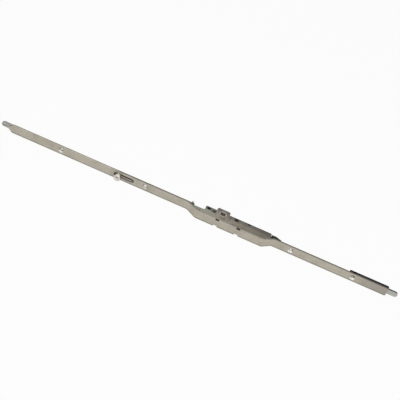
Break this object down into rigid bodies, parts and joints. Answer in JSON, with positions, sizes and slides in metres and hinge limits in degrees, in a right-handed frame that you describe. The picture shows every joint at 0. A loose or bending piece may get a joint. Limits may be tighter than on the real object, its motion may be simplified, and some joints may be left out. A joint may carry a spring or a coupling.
{
  "type": "window espagnolette gearbox",
  "caption": "Cranked steel window espagnolette with a cast gear case, square spindle hub, sliding drive rods with end tongues and a mushroom locking cam.",
  "frame": {"origin": "centre of the cranked faceplate's outer face, in line with the spindle axis", "axes": "+X along the bar towards the end with the black guide, -Y out of the faceplate, +Z along the spindle axis out of the cover"},
  "size_m": [0.6214, 0.0277, 0.014],
  "materials": {
    "zinc_silver": "silver zinc plating, satin",
    "rod_steel": "dull zinc plating",
    "die_cast": "dark zinc die casting, matt",
    "bright_steel": "bright plated steel",
    "black_plastic": "black moulded nylon"
  },
  "bodies": {
    "case": {"faceplate": "zinc_silver", "case_base": "die_cast", "case_cover": "die_cast", "case_rivet_1": "die_cast", "case_rivet_2": "die_cast", "case_rivet_3": "die_cast", "case_rivet_4": "die_cast", "screw_bush_left": "die_cast", "screw_bush_right": "die_cast", "rod_stud_1": "zinc_silver", "rod_stud_2": "zinc_silver", "rod_stud_3": "zinc_silver", "rod_stud_4": "zinc_silver", "exit_guide": "black_plastic", "end_guide": "black_plastic"},
    "drive_rod": {"rack_slider": "rod_steel", "rod_left": "rod_steel", "rod_right": "rod_steel", "cam_washer": "bright_steel"},
    "hub": {"hub_gear": "die_cast"},
    "cam": {"cam_bolt": "bright_steel"}
  },
  "joints": [
    {"name": "rod_slide", "type": "slide", "parent": "case", "child": "drive_rod", "axis": [1, 0, 0], "range_m": [0, 0.018]},
    {"name": "hub_turn", "type": "hinge", "parent": "case", "child": "hub", "pos_m": [0, 0.01721, 0], "axis": [0, 0, 1], "range_deg": [0, 90.1]},
    {"name": "cam_turn", "type": "hinge", "parent": "drive_rod", "child": "cam", "pos_m": [-0.1606, 0.0107, 0], "axis": [0, 1, 0], "range_deg": [-90, 90]}
  ],
  "couplings": [
    {"joint": "hub_turn", "follows": "rod_slide", "rad_per_m": 87.266}
  ]
}
